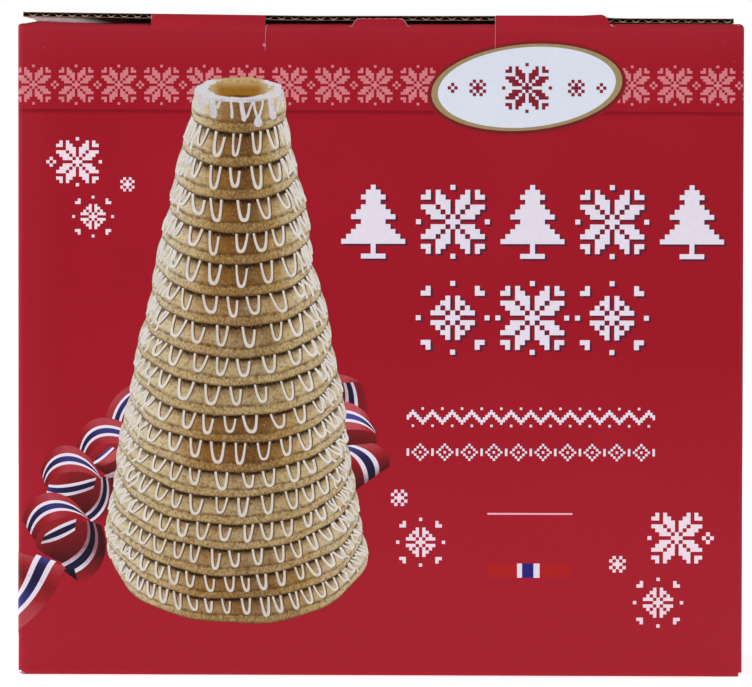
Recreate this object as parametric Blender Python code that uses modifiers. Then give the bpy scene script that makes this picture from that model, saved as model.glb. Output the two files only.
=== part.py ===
"""Shut carton of corrugated board for a ring cake: one closed solid.

The carton stands upright on its bottom flaps. Its front looks along -Y, +X is to the right and the origin
is the middle of the base. The front wall folds back over the two side flaps at its top crease. Two upright
tongues and a small round-shouldered tab of that wall aren't folded and stand in front of the lid. The lid
is the top flap of the back wall: it folds forward over everything and ends in a raw edge behind the tongues.
"""

import math

import bpy
from mathutils import Vector

# Driving dimensions, in metres.
WIDTH = 0.310
DEPTH = 0.130
WALL_TOP = 0.279            # top crease of the front wall
BOARD = 0.0020              # thickness of the corrugated board
CREASE_RADIUS = 0.0022      # outside of a folded edge
CREASE_STEPS = 3

# Lid: a strip that rises out of the back wall and folds forward.
LID_LEFT = -0.1529
LID_RIGHT = 0.1506
LID_TOP = 0.2827
LID_INSET = 0.0026          # raw front edge, behind the front face
LID_TAIL = 0.012            # how far the strip runs down the back wall
LID_SLICES = 24
# The lid's height over LID_TOP from left to right: it slants down to the right and dips past the right tongue.
LID_LIFT = ((-0.153, 0.0011), (-0.030, -0.0004), (0.083, -0.0003), (0.102, -0.0013), (0.151, -0.0014))

# Parts of the front wall that stay upright.
TONGUE_IN = 0.0489          # inner side of a tongue, from the middle
TONGUE_OUT = 0.0980         # outer side
TONGUE_TOP = 0.2826
TAB_MIDDLE = -0.0004
TAB_HALF = 0.0116
TAB_TOP = 0.2812
SHOULDER = 0.0034           # corner radius of the tab and of the right tongue
ROOT = 0.262                # where tongues and tab merge into the wall
RECESS = 0.0001             # their front lies this far behind the wall's face

# Cuts.
SLIT_FOOT = 0.2670          # lower end of the slit beside each tongue
SLIT_WIDTH = 0.0005
SEAM_WIDTH = 0.0010         # between the two bottom flaps
FLAP_INSET = 0.0015         # side walls crease above the bottom flaps and stand out past them
FLAP_CUT = 0.0018           # depth of the step and of the seam

PRINTED_RED = (0.36, 0.011, 0.023, 1.0)

FRONT = -DEPTH / 2
BACK = DEPTH / 2


def new_collection(name):
    """Adds a collection to the scene."""
    group = bpy.data.collections.new(name)
    bpy.context.scene.collection.children.link(group)
    return group


def clear_scene():
    """Removes the objects that a new file starts with."""
    for thing in list(bpy.data.objects):
        bpy.data.objects.remove(thing, do_unlink=True)


def put_in(thing, group):
    """Moves an object into one collection."""
    for other in list(thing.users_collection):
        other.objects.unlink(thing)
    group.objects.link(thing)


def board_material():
    """Red printed board with a satin varnish."""
    material = bpy.data.materials.new("printed_board")
    material.use_nodes = True
    shader = material.node_tree.nodes["Principled BSDF"]
    shader.inputs["Base Color"].default_value = PRINTED_RED
    shader.inputs["Roughness"].default_value = 0.42
    shader.inputs["Metallic"].default_value = 0.0
    return material


def box(name, low, high, group):
    """A cuboid between two corners, with its scale applied."""
    low, high = Vector(low), Vector(high)
    bpy.ops.mesh.primitive_cube_add(size=1, location=(low + high) / 2)
    thing = bpy.context.object
    thing.name = name
    thing.scale = high - low
    bpy.ops.object.transform_apply(location=True, rotation=True, scale=True)
    put_in(thing, group)
    return thing


def arc(centre, radius, start, end, steps):
    """Points on an arc, angles in degrees."""
    angles = [math.radians(start + (end - start) * step / steps) for step in range(steps + 1)]
    return [(centre[0] + radius * math.cos(angle), centre[1] + radius * math.sin(angle)) for angle in angles]


def outline(name, points, thickness, turn, group):
    """A flat outline given thickness on both sides of its plane, turned, and made a closed mesh."""
    data = bpy.data.curves.new(name, "CURVE")
    data.dimensions = "2D"
    data.fill_mode = "BOTH"
    data.extrude = thickness / 2
    spline = data.splines.new("POLY")
    spline.points.add(len(points) - 1)
    for place, point in zip(spline.points, points):
        place.co = (point[0], point[1], 0, 1)
    spline.use_cyclic_u = True
    curve = bpy.data.objects.new(name + "_curve", data)
    curve.rotation_euler = turn
    group.objects.link(curve)
    bpy.context.view_layer.update()
    drawn = curve.evaluated_get(bpy.context.evaluated_depsgraph_get())
    mesh = bpy.data.meshes.new_from_object(drawn)
    mesh.name = name
    mesh.transform(curve.matrix_world)
    bpy.data.objects.remove(curve, do_unlink=True)
    thing = bpy.data.objects.new(name, mesh)
    group.objects.link(thing)
    select_only(thing)
    bpy.ops.object.mode_set(mode="EDIT")
    bpy.ops.mesh.select_all(action="SELECT")
    bpy.ops.mesh.remove_doubles(threshold=1e-6)
    bpy.ops.mesh.normals_make_consistent(inside=False)
    bpy.ops.object.mode_set(mode="OBJECT")
    return thing


def select_only(thing):
    """Makes one object the active and only selected one."""
    bpy.ops.object.select_all(action="DESELECT")
    thing.select_set(True)
    bpy.context.view_layer.objects.active = thing


def slice_across(thing, places):
    """Cuts the mesh along planes of constant X, so that it can bend."""
    select_only(thing)
    bpy.ops.object.mode_set(mode="EDIT")
    for place in places:
        bpy.ops.mesh.select_all(action="SELECT")
        bpy.ops.mesh.bisect(plane_co=(place, 0, 0), plane_no=(1, 0, 0))
    bpy.ops.object.mode_set(mode="OBJECT")


def apply_boolean(target, tool, operation):
    """Joins or cuts with the exact solver."""
    change = target.modifiers.new(tool.name, "BOOLEAN")
    change.operation = operation
    change.solver = "EXACT"
    change.object = tool
    tool.hide_render = True
    tool.display_type = "WIRE"


def body(group):
    """Walls and folded flaps as one block with creased edges."""
    block = box("carton", (-WIDTH / 2, FRONT, 0), (WIDTH / 2, BACK, WALL_TOP), group)
    crease = block.modifiers.new("creases", "BEVEL")
    crease.width = CREASE_RADIUS
    crease.segments = CREASE_STEPS
    crease.limit_method = "ANGLE"
    return block


def lift_at(x):
    """Height of the lid over LID_TOP at a place across the carton."""
    if x <= LID_LIFT[0][0]:
        return LID_LIFT[0][1]
    for (left, low), (right, high) in zip(LID_LIFT, LID_LIFT[1:]):
        if x <= right:
            return low + (high - low) * (x - left) / (right - left)
    return LID_LIFT[-1][1]


def lid(group):
    """L-shaped strip across the carton: up the back wall, over its crease and forward."""
    back = BACK - RECESS
    bend = (back - CREASE_RADIUS, LID_TOP - CREASE_RADIUS)
    edge = FRONT + LID_INSET
    foot = WALL_TOP - LID_TAIL
    outer = arc(bend, CREASE_RADIUS, 0, 90, CREASE_STEPS)
    inner = arc(bend, CREASE_RADIUS - BOARD, 90, 0, CREASE_STEPS)
    points = [(back, foot)] + outer + [(edge, LID_TOP), (edge, LID_TOP - BOARD)] + inner
    points.append((back - BOARD, foot))
    width = LID_RIGHT - LID_LEFT
    strip = outline("lid", points, width, (math.pi / 2, 0, math.pi / 2), group)
    for vertex in strip.data.vertices:
        vertex.co.x += (LID_LEFT + LID_RIGHT) / 2
    slice_across(strip, [LID_LEFT + width * step / LID_SLICES for step in range(1, LID_SLICES)])
    for vertex in strip.data.vertices:
        share = min(1.0, (vertex.co.z - foot) / (bend[1] - foot))
        vertex.co.z += lift_at(vertex.co.x) * share
    return strip


def upright(name, left, right, top, round_left, round_right, group):
    """Part of the front wall that stands past the crease, with square or round shoulders."""
    points = [(right, ROOT)]
    if round_right:
        points += arc((right - SHOULDER, top - SHOULDER), SHOULDER, 0, 90, 6)
    else:
        points.append((right, top))
    if round_left:
        points += arc((left + SHOULDER, top - SHOULDER), SHOULDER, 90, 180, 6)
    else:
        points.append((left, top))
    points.append((left, ROOT))
    plate = outline(name, points, BOARD, (math.pi / 2, 0, 0), group)
    for vertex in plate.data.vertices:
        vertex.co.y += FRONT + RECESS + BOARD / 2
    return plate


def cutters(group):
    """Slits beside the tongues, the seam between the bottom flaps, and the step at each end of them."""
    before = FRONT - BOARD
    behind = FRONT + (BOARD + LID_INSET) / 2
    for side in (-1, 1):
        middle = side * TONGUE_IN
        low = (middle - SLIT_WIDTH / 2, before, SLIT_FOOT)
        high = (middle + SLIT_WIDTH / 2, behind, TONGUE_TOP + BOARD)
        yield box(f"slit_{side}", low, high, group)
        end = side * (WIDTH / 2 - FLAP_INSET)
        past = side * WIDTH
        low = (min(end, past), -DEPTH, -BOARD)
        high = (max(end, past), DEPTH, FLAP_CUT)
        yield box(f"step_{side}", low, high, group)
    yield box("seam", (-WIDTH, -SEAM_WIDTH / 2, -BOARD), (WIDTH, SEAM_WIDTH / 2, FLAP_CUT), group)


def build():
    """Makes the carton and shades it."""
    clear_scene()
    parts = new_collection("ring_cake_carton")
    tools = new_collection("cutters")
    carton = body(parts)
    joined = [
        lid(tools),
        upright("left_tongue", -TONGUE_OUT, -TONGUE_IN, TONGUE_TOP, False, False, tools),
        upright("right_tongue", TONGUE_IN, TONGUE_OUT, TONGUE_TOP, False, True, tools),
        upright("tab", TAB_MIDDLE - TAB_HALF, TAB_MIDDLE + TAB_HALF, TAB_TOP, True, True, tools),
    ]
    for piece in joined:
        apply_boolean(carton, piece, "UNION")
    for cutter in list(cutters(tools)):
        apply_boolean(carton, cutter, "DIFFERENCE")
    carton.data.materials.append(board_material())
    select_only(carton)
    bpy.ops.object.shade_smooth_by_angle(angle=math.radians(40))


build()
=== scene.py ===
"""Looks of a shut, printed carton for a ring cake.

The board is made first: walls, the upright tongues and tab of the front wall, and the lid with its flutes.
The print is then laid on the board in thin layers of ink. Each printed shape is drawn flat, with X as the
distance round the carton from the middle of the front and Z as the height, and is folded round the walls.
"""

import math
import random

import bpy
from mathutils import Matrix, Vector


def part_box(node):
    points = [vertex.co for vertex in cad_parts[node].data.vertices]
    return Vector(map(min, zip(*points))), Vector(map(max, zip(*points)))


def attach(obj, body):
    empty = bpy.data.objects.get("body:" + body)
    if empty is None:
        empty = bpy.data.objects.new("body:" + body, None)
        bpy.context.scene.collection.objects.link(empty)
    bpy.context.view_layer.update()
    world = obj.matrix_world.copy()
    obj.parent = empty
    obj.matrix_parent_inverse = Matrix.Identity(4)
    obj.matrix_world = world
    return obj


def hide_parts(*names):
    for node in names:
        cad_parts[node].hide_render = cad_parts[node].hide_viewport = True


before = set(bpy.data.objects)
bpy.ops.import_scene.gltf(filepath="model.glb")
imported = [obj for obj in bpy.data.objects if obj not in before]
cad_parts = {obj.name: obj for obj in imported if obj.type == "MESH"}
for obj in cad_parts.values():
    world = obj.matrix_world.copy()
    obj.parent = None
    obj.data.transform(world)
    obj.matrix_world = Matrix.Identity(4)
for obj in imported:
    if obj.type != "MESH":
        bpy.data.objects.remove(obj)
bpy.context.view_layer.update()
LOW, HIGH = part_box("carton")

MM = 0.001

# Carton, from the frame.
FRONT, BACK = LOW.y, HIGH.y
HALF_WIDTH = (HIGH.x - LOW.x) / 2
HALF_DEPTH = (BACK - FRONT) / 2

# Board.
WALL_TOP = 0.279                # top crease of the walls
BOARD = 0.0020
LINER = 0.00028
CREASE = 0.0022                 # outside radius of a folded edge
CREASE_STEPS = 6
BEND_START = WALL_TOP - CREASE
FLUTE_PITCH = 0.0056
FLUTE_PHASE = -0.1488           # a trough of the lid's medium, across the carton
BOW = 0.0005                    # how far the middle of a wall stands out
GRID = 0.02                     # spacing of the cuts that let flat shapes follow the bow
RULINGS = [GRID * step for step in range(-50, 51)]

# Lid and the upright parts of the front wall.
LID_LEFT, LID_RIGHT = -0.1529, 0.1506
LID_TOP = 0.2827
LID_INSET = 0.0026
LID_FOOT = WALL_TOP - 0.012     # where the lid's board starts on the back wall
LID_LIFT = ((-0.153, 0.0011), (-0.030, -0.0004), (0.083, -0.0003), (0.102, -0.0013), (0.145, -0.0014))
CREASE_RISE = (
    (-0.155, -0.0006), (-0.1466, 0.0009), (-0.141, 0.0007), (-0.118, -0.0003),
    (-0.100, -0.0005), (0.030, -0.0004), (0.080, 0.0),
)
TONGUE_IN, TONGUE_OUT = 0.0489, 0.0980
TONGUE_TOP = 0.2826
TAB_MIDDLE = -0.0004
TAB_HALF = 0.0116
TAB_TOP = 0.2812
SHOULDER = 0.0034
SLIT_FOOT = 0.2670

# Print. Shapes that overlap never share a layer, and layers count from the board outwards.
INK = 0.00004                   # thickness of one layer
LAYER_STEP = 0.2                # between strokes or stretches of ribbon that lie over each other
LAYER = {
    "ribbon": 0.6, "knit": 1, "border": 1, "bar": 1, "ornament_shadow": 1, "ornament": 2, "joint": 2,
    "oval_glow": 1.5, "oval_shadow": 2.0, "oval_rim": 2.5, "oval_field": 3.0, "oval_motifs": 4,
    "rings": 3, "drips": 3.1, "icing_shadow": 3.5, "crown_hollow": 3.7, "crown_icing": 3.9,
    "loops": 4.0, "side_lines": 4.6, "wear": 5,
}
CELL = 1.141 * MM               # one stitch of the knitted band
STAR_PITCH = 16 * CELL
BAND_CENTRE = 0.2527            # height of the row of stars
FIRST_STAR = -0.1483
BAND_FOOT = 0.2417              # dark line under the band

# Ring cake on the front. Rings are counted from the top.
RINGS = 18
CAKE_MIDDLE = -60.3 * MM
# How far the stack leans to one side from its top ring to its lowest, in millimetres.
LEAN = ((0, -0.3), (2, -1.2), (9, -1.5), (13, -2.1), (15, -2.8), (16, -1.6), (17, 0.6))
LIP = 0.30                      # share of a ring's height taken by its foot
# How pale each ring is baked, from the top.
TONES = (0.25, 0.2, 0.1, 0.15, 0.15, 0.2, 0.4, 0.55, 0.8, 0.7, 0.15, 0.0, 0.75, 0.7, 0.65, 0.55, 0.25, 0.45)


# ------------------------ modelling tools


def clear_selection():
    """Leaves nothing selected."""
    bpy.ops.object.select_all(action="DESELECT")


def select_only(piece):
    """Makes one piece the active and only selected one."""
    clear_selection()
    piece.select_set(True)
    bpy.context.view_layer.objects.active = piece


def steps(low, high, count):
    """Evenly spaced numbers from low to high, count + 1 of them."""
    return [low + (high - low) * step / count for step in range(count + 1)]


def blend(a, b, share):
    """A point or number part of the way from a to b."""
    return a + (b - a) * share


def level_at(knots, place):
    """Straight-line reading between (place, level) knots."""
    if place <= knots[0][0]:
        return knots[0][1]
    for (left, low), (right, high) in zip(knots, knots[1:]):
        if place <= right:
            return blend(low, high, (place - left) / (right - left))
    return knots[-1][1]


def sheet(name, us, vs, place):
    """A grid primitive whose lines lie at us and vs, each point moved to place(u, v)."""
    clear_selection()
    bpy.ops.mesh.primitive_grid_add(x_subdivisions=len(us) - 1, y_subdivisions=len(vs) - 1, size=1)
    piece = bpy.context.object
    piece.name = piece.data.name = name
    mesh = piece.data
    stations = []
    for vertex in mesh.vertices:
        column = round((vertex.co.x + 0.5) * (len(us) - 1))
        row = round((vertex.co.y + 0.5) * (len(vs) - 1))
        stations.append((us[column], vs[row]))
    shares = mesh.uv_layers.active.data
    for loop in mesh.loops:
        u, v = stations[loop.vertex_index]
        shares[loop.index].uv = ((u - us[0]) / (us[-1] - us[0]), (v - vs[0]) / (vs[-1] - vs[0]))
    for vertex, (u, v) in zip(mesh.vertices, stations):
        vertex.co = place(u, v)
    return piece


def cuboid(name, low, high):
    """A cube primitive stretched between two corners."""
    low = Vector(low)
    high = Vector(high)
    clear_selection()
    bpy.ops.mesh.primitive_cube_add(size=1, location=(low + high) / 2)
    piece = bpy.context.object
    piece.name = piece.data.name = name
    piece.scale = high - low
    bpy.ops.object.transform_apply(location=True, rotation=True, scale=True)
    return piece


def modify(piece, kind, **settings):
    """Adds a modifier and applies it."""
    select_only(piece)
    change = piece.modifiers.new(kind.lower(), kind)
    for key, value in settings.items():
        setattr(change, key, value)
    bpy.ops.object.modifier_apply(modifier=change.name)


def cut_across(piece, axis, places):
    """Bisects a piece at places along one axis."""
    normal = [0, 0, 0]
    normal[axis] = 1
    select_only(piece)
    bpy.ops.object.mode_set(mode="EDIT")
    for place in places:
        point = [0, 0, 0]
        point[axis] = place
        bpy.ops.mesh.select_all(action="SELECT")
        bpy.ops.mesh.bisect(plane_co=point, plane_no=normal)
    bpy.ops.object.mode_set(mode="OBJECT")


def join(name, pieces):
    """Joins pieces into one."""
    clear_selection()
    for piece in pieces:
        piece.select_set(True)
    bpy.context.view_layer.objects.active = pieces[0]
    if len(pieces) > 1:
        bpy.ops.object.join()
    whole = bpy.context.object
    whole.name = whole.data.name = name
    return whole


def shift(piece, across, up):
    """Moves a flat piece in the plane of the print."""
    for vertex in piece.data.vertices:
        vertex.co.x += across
        vertex.co.z += up
    return piece


def copy_of(piece, across, up):
    """A copy with its own mesh, moved in the plane of the print."""
    twin = piece.copy()
    twin.data = piece.data.copy()
    bpy.context.collection.objects.link(twin)
    return shift(twin, across, up)


def arc(centre, radius, start, end, count=8):
    """Points on an arc, angles in degrees."""
    angles = [math.radians(angle) for angle in steps(start, end, count)]
    return [(centre[0] + radius * math.cos(angle), centre[1] + radius * math.sin(angle)) for angle in angles]


def outline(name, points, thickness=0.0):
    """A flat curve in the XZ plane, filled, given thickness backwards from Y = 0 and made a mesh."""
    data = bpy.data.curves.new(name, "CURVE")
    data.dimensions = "2D"
    data.fill_mode = "BOTH"
    data.extrude = thickness / 2
    spline = data.splines.new("POLY")
    spline.points.add(len(points) - 1)
    for place, point in zip(spline.points, points):
        place.co = (point[0], point[1], 0, 1)
    spline.use_cyclic_u = True
    curve = bpy.data.objects.new(name, data)
    bpy.context.collection.objects.link(curve)
    select_only(curve)
    bpy.ops.object.convert(target="MESH")
    piece = bpy.context.object
    for vertex in piece.data.vertices:
        x, z, depth = vertex.co
        vertex.co = (x, thickness / 2 - depth, z)
    bpy.ops.object.mode_set(mode="EDIT")
    bpy.ops.mesh.select_all(action="SELECT")
    bpy.ops.mesh.remove_doubles(threshold=1e-6)
    if thickness:
        bpy.ops.mesh.normals_make_consistent(inside=False)
    bpy.ops.object.mode_set(mode="OBJECT")
    piece.name = piece.data.name = name
    return piece


def stroke(name, path, width):
    """A flat ribbon along points of the print's plane; width is a number or a rule of the share along it."""
    points = [Vector((point[0], point[1])) for point in path]
    normals = []
    for place in range(len(points)):
        ahead = points[min(place + 1, len(points) - 1)] - points[max(place - 1, 0)]
        ahead.normalize()
        normals.append(Vector((ahead.y, -ahead.x)))

    def place_point(side, along):
        step = round(along)
        wide = width(step / (len(points) - 1)) if callable(width) else width
        spot = points[step] + normals[step] * side * wide
        return (spot.x, 0, spot.y)

    return sheet(name, [-0.5, 0.5], [float(step) for step in range(len(points))], place_point)


def face_outward(piece):
    """Turns the faces of a flat printed shape towards -Y."""
    select_only(piece)
    bpy.ops.object.mode_set(mode="EDIT")
    bpy.ops.mesh.select_all(action="SELECT")
    bpy.ops.object.mode_set(mode="OBJECT")
    for face in piece.data.polygons:
        face.select = face.normal.y > 0
    bpy.ops.object.mode_set(mode="EDIT")
    bpy.ops.mesh.flip_normals()
    bpy.ops.object.mode_set(mode="OBJECT")
    return piece


def mark(piece, name, rule):
    """Stores a number for each point, for the finish to read."""
    layer = piece.data.attributes.new(name, "FLOAT", "POINT")
    for vertex, entry in zip(piece.data.vertices, layer.data):
        entry.value = rule(vertex.co)


# ------------------------ shader tools


class Term:
    """A value in a shader: arithmetic on it adds Math nodes."""

    def __init__(self, finish, socket):
        self.finish = finish
        self.socket = socket

    def math(self, operation, *values, clamp=False):
        """Adds one Math node."""
        settings = {"operation": operation, "use_clamp": clamp}
        return self.finish.node("ShaderNodeMath", settings, dict(enumerate(values)))

    def __add__(self, other):
        return self.math("ADD", self, other)

    __radd__ = __add__

    def __sub__(self, other):
        return self.math("SUBTRACT", self, other)

    def __rsub__(self, other):
        return self.math("SUBTRACT", other, self)

    def __mul__(self, other):
        return self.math("MULTIPLY", self, other)

    def __truediv__(self, other):
        return self.math("DIVIDE", self, other)

    def __abs__(self):
        return self.math("ABSOLUTE", self)

    def share_of(self, whole):
        """The share of a number that this is, from 0 to 1."""
        return self.math("DIVIDE", self, whole, clamp=True)

    def rise(self, low, high):
        """0 below low, 1 above high and smooth between; low may be the larger."""
        settings = {"interpolation_type": "SMOOTHSTEP"}
        values = {0: self, 1: low, 2: high, 3: 0.0, 4: 1.0}
        return self.finish.node("ShaderNodeMapRange", settings, values)


class Finish:
    """A material around one Principled shader."""

    def __init__(self, name, roughness=0.55, gloss=0.05):
        self.material = bpy.data.materials.new(name)
        self.material.use_nodes = True
        self.tree = self.material.node_tree
        self.shader = self.tree.nodes["Principled BSDF"]
        self.shader.inputs["Roughness"].default_value = roughness
        self.shader.inputs["Specular IOR Level"].default_value = gloss

    def node(self, kind, settings=None, values=None, output=0):
        """Adds a node, sets it up and feeds its inputs with numbers, colours or terms."""
        added = self.tree.nodes.new(kind)
        for key, value in (settings or {}).items():
            setattr(added, key, value)
        for key, value in (values or {}).items():
            self.feed(added.inputs[key], value)
        return Term(self, added.outputs[output])

    def feed(self, socket, value):
        """Links a term to a socket, or sets the socket's own number or hex colour."""
        if isinstance(value, Term):
            self.tree.links.new(value.socket, socket)
        elif isinstance(value, str):
            socket.default_value = colour(value)
        else:
            socket.default_value = value

    def set(self, name, value):
        """Feeds an input of the shader."""
        self.feed(self.shader.inputs[name], value)

    def place(self):
        """Object coordinates."""
        return self.node("ShaderNodeTexCoord", output="Object")

    def split(self, vector):
        """The three numbers of a vector."""
        parts = self.node("ShaderNodeSeparateXYZ", values={0: vector})
        return [Term(self, output) for output in parts.socket.node.outputs]

    def axes(self):
        """The three object coordinates, in metres."""
        return self.split(self.place())

    def shares(self):
        """The two shares across and along a sheet."""
        return self.split(self.node("ShaderNodeUVMap", {"uv_map": "UVMap"}))[:2]

    def value_of(self, name):
        """A number stored on the mesh."""
        return self.node("ShaderNodeAttribute", {"attribute_name": name}, output="Fac")

    def noise(self, scale, detail=3.0, stretch=(1, 1, 1)):
        """Soft noise around 0.5; scale is in features for each metre."""
        spot = self.node("ShaderNodeMapping", values={"Vector": self.place(), "Scale": stretch})
        return self.node("ShaderNodeTexNoise", values={"Vector": spot, "Scale": scale, "Detail": detail})

    def over(self, base, *coats):
        """A base colour under coats, each the share it covers and its colour."""
        for share, coat in coats:
            base = self.node("ShaderNodeMix", {"data_type": "RGBA"}, {0: share, 6: base, 7: coat}, output=2)
        return base

    def paint(self, base, *coats):
        """Gives the shader a base colour under coats."""
        self.set("Base Color", self.over(base, *coats))
        return self.material

    def bump(self, height, depth):
        """Relief of the given depth in metres."""
        values = {"Height": height, "Distance": depth, "Strength": 1.0}
        self.set("Normal", self.node("ShaderNodeBump", values=values))


def colour(code):
    """A hex colour as linear red, green and blue."""
    parts = [int(code[place:place + 2], 16) / 255 for place in (1, 3, 5)]
    linear = [part / 12.92 if part <= 0.04045 else ((part + 0.055) / 1.055) ** 2.4 for part in parts]
    return (*linear, 1.0)


# ------------------------ finishes


def red_print(name, crease_highlight=1.0):
    """Red ink on coated board, with painted highlights on the creases and corners, painted light on the
    foot, the left edge and a band below the top crease, and a printed soft dark line under the knitted band.
    """
    finish = Finish(name)
    x, y, z = finish.axes()
    cloud = finish.noise(9.0)
    grain = finish.noise(900.0, 2.0)
    line = z - BAND_FOOT - x * -0.0028
    shadow = line.rise(-0.0022, -0.0002) * line.rise(0.0006, -0.0002)
    # painted highlight along the top crease of the walls
    crease = z.rise(WALL_TOP - 0.0048, WALL_TOP - 0.001) * z.rise(WALL_TOP + 0.0012, WALL_TOP + 0.0002)
    # painted highlight on the rounded corners of the walls
    beside = abs(x).rise(HALF_WIDTH - CREASE, HALF_WIDTH - 0.0002)
    corner = beside * abs(y).rise(HALF_DEPTH - CREASE, HALF_DEPTH)
    washboard = finish.node("ShaderNodeMath", {"operation": "SINE"}, {0: x * (2 * math.pi / FLUTE_PITCH)})
    finish.bump(washboard * 0.12 + grain * 0.25 + finish.noise(60.0, 2.0), 0.00008)
    return finish.paint(
        "#9e1726",
        (cloud.rise(0.3, 0.7), "#a31a29"),
        # painted light: lighter towards the foot of the walls
        (z.rise(0.16, 0.0) * 0.8, "#a72633"),
        # painted highlight: lighter in a band below the top crease
        (z.rise(0.258, 0.276) * 0.45, "#ab2937"),
        # painted light: lighter towards the left edge
        (x.rise(-0.135, -0.156) * 0.3, "#a92a38"),
        (shadow * 0.62, "#6b0c14"),
        # painted highlights on the top crease and the corners
        (crease * 0.25 * crease_highlight, "#b03841"),
        (corner * 0.3, "#b03841"),
        (grain.rise(0.35, 0.75) * 0.12, "#8f1320"),
    )


def plain_ink(name, code, darker, gloss=0.15):
    """One printed colour with a slight unevenness."""
    finish = Finish(name, roughness=0.5, gloss=gloss)
    uneven = finish.noise(700.0)
    slow = finish.noise(25.0, 2.0)
    finish.bump(uneven, 0.00002)
    return finish.paint(code, (uneven.rise(0.3, 0.75) * 0.5, darker), (slow.rise(0.35, 0.8) * 0.35, darker))


def kraft(name, light, dark):
    """Raw brown board: fibres along the cut."""
    finish = Finish(name, roughness=0.9, gloss=0.1)
    fibre = finish.noise(1500.0, 4.0, stretch=(0.3, 1, 1.6))
    patch = finish.noise(160.0, 2.0)
    finish.bump(fibre, 0.00006)
    return finish.paint(light, (fibre.rise(0.3, 0.7), dark), (patch.rise(0.4, 0.8) * 0.5, dark))


def baked_rings():
    """Printed rings: pale at the left, golden, then brown past the middle, on a rougher, lighter foot."""
    finish = Finish("baked_rings")
    across, up = finish.shares()
    tone = finish.value_of("tone")
    covered = finish.value_of("covered")
    grain = finish.noise(1500.0, 2.0)
    crumb = finish.noise(520.0)
    rib = finish.noise(1050.0, stretch=(1.3, 1.0, 0.75))
    pit = finish.noise(1150.0)
    patch = finish.noise(110.0)
    place = across + (patch - 0.5) * 0.14
    lighter = (tone + (patch - 0.5) * 0.9).rise(0.1, 1.0) * 0.75
    outer = abs(across * 2.0 - 1.0)
    rough = 1.0 - outer.rise(0.1, 0.8) * 0.6
    wall = finish.over(
        "#e3d8bc",
        (place.rise(0.12, 0.34), "#c8ad80"),
        (place.rise(0.28, 0.42), "#8a5e2a"),
        (place.rise(0.42, 0.54), "#6b4522"),
        (place.rise(0.55, 0.70), "#a6854c"),
        (place.rise(0.66, 0.80), "#d2bf9c"),
        (lighter, "#c9b68b"),
        (crumb.rise(0.48, 0.68) * rough * 0.6, "#7d5528"),
    )
    foot = finish.over(
        wall,
        (0.3, "#b39660"),
        (rib.rise(0.50, 0.64) * 0.5, "#66451f"),
        (rib.rise(0.48, 0.36) * 0.3, "#cdb686"),
        (up.rise(0.09, 0.0) * 0.7, "#553519"),
    )
    ragged = up + (crumb - 0.5) * 0.10
    split = ragged + (patch - 0.5) * 0.08
    groove = split.rise(LIP - 0.06, LIP) * split.rise(LIP + 0.12, LIP + 0.02)
    light_side = abs(across * 2.0 - 1.15).rise(0.45, 1.1)
    hollow = ragged.rise(0.62, 0.88) * (0.6 - light_side * 0.35) * covered
    gap = ragged.rise(0.82, 0.94) * (1.0 - light_side * 0.5) * covered
    frosted = outer.rise(0.70, 1.0) * crumb.rise(0.35, 0.6) * (1.0 - gap)
    return finish.paint(
        foot,
        (split.rise(LIP - 0.03, LIP + 0.03), wall),
        (groove * (0.35 + crumb.rise(0.35, 0.6) * 0.35), "#553619"),
        (hollow, "#573619"),
        (gap * 0.95, finish.over("#1f0d03", (light_side, "#5e3f18"))),
        (frosted * 0.8, "#dcd5cb"),
        (pit.rise(0.54, 0.68) * rough * 0.5, "#50351a"),
        (pit.rise(0.44, 0.30) * 0.16, "#dcc795"),
        (grain.rise(0.54, 0.72) * 0.3, "#5a3d20"),
    )


def piped_icing():
    """White piped line: bright along its middle, greyer and thinner at its sides."""
    finish = Finish("piped_icing")
    across, _ = finish.shares()
    x, _, z = finish.axes()
    sideways = abs(across * 2.0 - 1.0)
    outer = abs(x - CAKE_MIDDLE) / (0.0585 - z * 0.166)
    uneven = finish.noise(420.0)
    return finish.paint(
        "#d8d0c6",
        (outer.rise(0.35, 0.95), "#e4ded7"),
        (sideways.rise(0.35, 1.0) * 0.6, "#b7a99b"),
        (uneven.rise(0.45, 0.7) * 0.45, "#bfb2a5"),
    )


def ribbon_ink(name, dark, middle, light, knee=0.5):
    """One stripe of the ribbon, shaded along its curl by the stored tone; middle is reached at the knee."""
    finish = Finish(name, roughness=0.5, gloss=0.15)
    thread = finish.noise(900.0, 2.0)
    level = finish.value_of("tone") + (thread - 0.5) * 0.12
    return finish.paint(dark, (level.share_of(knee), middle), ((level - knee).share_of(1 - knee), light))


def stage_finish():
    """White floor, lit from within so that it stays white to its edge."""
    finish = Finish("pale_floor", roughness=0.8, gloss=0.1)
    finish.set("Emission Color", (1.0, 1.0, 1.0, 1.0))
    finish.set("Emission Strength", 0.6)
    return finish.paint("#f4f4f4", (finish.noise(1.5, 2.0), "#f8f8f8"))


# ------------------------ where things lie on the board


FLAT_X = HALF_WIDTH - CREASE
FLAT_Y = HALF_DEPTH - CREASE
TURN = CREASE * math.pi / 2
CORNER_ONE = FLAT_X
SIDE = CORNER_ONE + TURN
CORNER_TWO = SIDE + 2 * FLAT_Y
REAR = CORNER_TWO + TURN
ROUND = REAR + FLAT_X            # from the middle of the front to the middle of the back


def bow_at(across, height):
    """How far a wall stands out at a share -1 to 1 across it and at a height."""
    up = min(1.0, max(-1.0, 2 * height / WALL_TOP - 1))
    return BOW * max(0.0, 1 - across * across) * (1 - up * up)


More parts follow.
